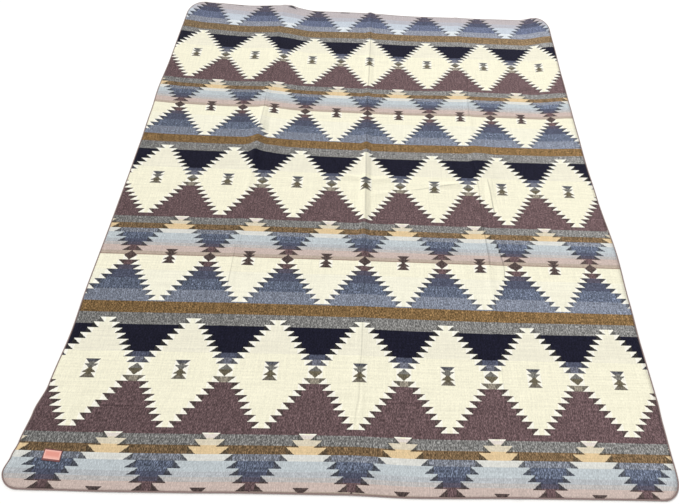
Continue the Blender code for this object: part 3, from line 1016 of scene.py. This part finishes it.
def build_stitches(material):
    """Whip stitches over the label's rim: short arched threads, square to the rim."""
    half_wide = LABEL_WIDE / 2
    half_deep = LABEL_DEEP / 2
    starts = []
    for middle_x, middle_y, way_x, way_y, long in (
        (0, -half_deep, 1, 0, LABEL_WIDE),
        (half_wide, 0, 0, 1, LABEL_DEEP),
        (0, half_deep, -1, 0, LABEL_WIDE),
        (-half_wide, 0, 0, -1, LABEL_DEEP),
    ):
        count = int((long - 2 * LABEL_CORNER) / STITCH_PITCH)
        for step in (np.arange(count) - (count - 1) / 2) * STITCH_PITCH:
            starts.append((middle_x + way_x * step, middle_y + way_y * step, way_y, -way_x))
    start_x, start_y, out_x, out_y = np.array(starts).T[:, :, None, None]
    part = np.linspace(0, 1, STITCH_RINGS)[:, None]
    outward = (part - STITCH_ON_LABEL) * STITCH_LONG
    arch = np.sin(np.pi * part) ** STITCH_ARCH
    turn = np.arange(STITCH_SIDES) / STITCH_SIDES * 2 * math.pi
    thick = STITCH_THICK * np.where((part == 0) | (part == 1), STITCH_END, 1.0)
    aside = thick * np.cos(turn)
    right = start_x + out_x * outward - out_y * aside
    beyond = start_y + out_y * outward + out_x * aside
    x, y = on_label(right, beyond)
    lift = (LABEL_LIFT + LABEL_THICK) * arch + thick * np.sin(turn)
    z = cloth_height(x, y) + CLOTH_THICK + lift
    points = np.stack([x, y, z], axis=-1)
    one = tube_quads(STITCH_RINGS, STITCH_SIDES, closed=False)[:, ::-1]
    last = (STITCH_RINGS - 1) * STITCH_SIDES
    ends = [list(range(STITCH_SIDES))[::-1], list(range(last, last + STITCH_SIDES))]
    faces = []
    for stitch in range(len(starts)):
        first = stitch * STITCH_RINGS * STITCH_SIDES
        faces += (one + first).tolist()
        faces += [[first + corner for corner in end] for end in ends]
    return new_piece("label_stitches", points, faces, [material])


def set_camera():
    """The photograph's viewpoint, as a yaw, a pitch and a roll of a level camera."""
    down = math.radians(CAMERA_DOWN)
    right_turn = math.radians(CAMERA_RIGHT)
    roll = math.radians(CAMERA_ROLL)
    level = (math.sin(right_turn), math.cos(right_turn))
    ahead = Vector((level[0] * math.cos(down), level[1] * math.cos(down), -math.sin(down)))
    right = Vector((level[1], -level[0], 0))
    up = right.cross(ahead)
    rolled_right = math.cos(roll) * right + math.sin(roll) * up
    rolled_up = math.cos(roll) * up - math.sin(roll) * right
    turn = Matrix((rolled_right, rolled_up, -ahead)).transposed().to_4x4()
    lens = bpy.data.cameras.new("photo camera")
    lens.sensor_width = SENSOR
    lens.lens = FOCAL_PX / PICTURE_WIDE_PX * SENSOR
    lens.shift_x = (PICTURE_WIDE_PX / 2 - CENTRE_PX) / PICTURE_WIDE_PX
    camera = bpy.data.objects.new("photo camera", lens)
    camera.matrix_world = Matrix.Translation(CAMERA_PLACE) @ turn
    bpy.context.scene.collection.objects.link(camera)
    bpy.context.scene.camera = camera


def set_floor():
    """A plain pale floor, far wider than the view, with a little unevenness in its paint."""
    corners = np.array([[-1, -1], [1, -1], [1, 1], [-1, 1]]) * FLOOR_REACH
    points = np.column_stack([corners, np.full(len(corners), -FLOOR_UNDER)])
    material, tree, shader = finish_of("matt pale floor paint", roughness=0.8, sheen=0.0)
    place = add(tree, "TexCoord", output=3)
    cloud = add(tree, "TexNoise", place, FLOOR_CLOUDS, 3.0, 0.5)
    dull = linear("#FAF9F8")
    clean = linear("#FCFCFB")
    colour = add(tree, "Mix", cloud, dull, clean, data_type="RGBA")
    tree.links.new(colour, shader.inputs["Base Color"])
    floor = new_piece("floor", points, [[0, 1, 2, 3]], [material], smooth=False)


def set_lights():
    """Plain soft studio light: an even pale surround and a broad lamp high on the left."""
    world = bpy.data.worlds.new("soft surround")
    world.use_nodes = True
    surround = world.node_tree.nodes["Background"]
    surround.inputs["Color"].default_value = (1, 1, 1, 1)
    surround.inputs["Strength"].default_value = SURROUND
    bpy.context.scene.world = world
    lamp = bpy.data.lights.new("broad lamp", "SUN")
    lamp.energy = LAMP
    lamp.angle = LAMP_SPREAD
    lamp.color = LAMP_WHITE
    holder = bpy.data.objects.new("broad lamp", lamp)
    holder.rotation_euler = LAMP_TURN
    bpy.context.scene.collection.objects.link(holder)
    fill = bpy.data.lights.new("far fill", "AREA")
    fill.energy = FILL
    fill.size = FILL_WIDE
    holder = bpy.data.objects.new("far fill", fill)
    holder.location = FILL_PLACE
    holder.rotation_euler = (-Vector(FILL_PLACE)).to_track_quat("-Z", "Y").to_euler()
    bpy.context.scene.collection.objects.link(holder)
    bpy.context.scene.view_settings.view_transform = "Standard"


set_camera()
set_floor()
set_lights()

cloth = build_cloth([woven("brushed alpaca, face", False), woven("brushed alpaca, back", True)])
edging = build_whipping(whipped())
label = build_label(label_tape())
stitches = build_stitches(label_thread())

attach(cloth, "root")
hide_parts("woven_panel")
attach(edging, "root")
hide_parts("yarn_edging")
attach(label, "root")
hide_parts("corner_label")
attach(stitches, "root")
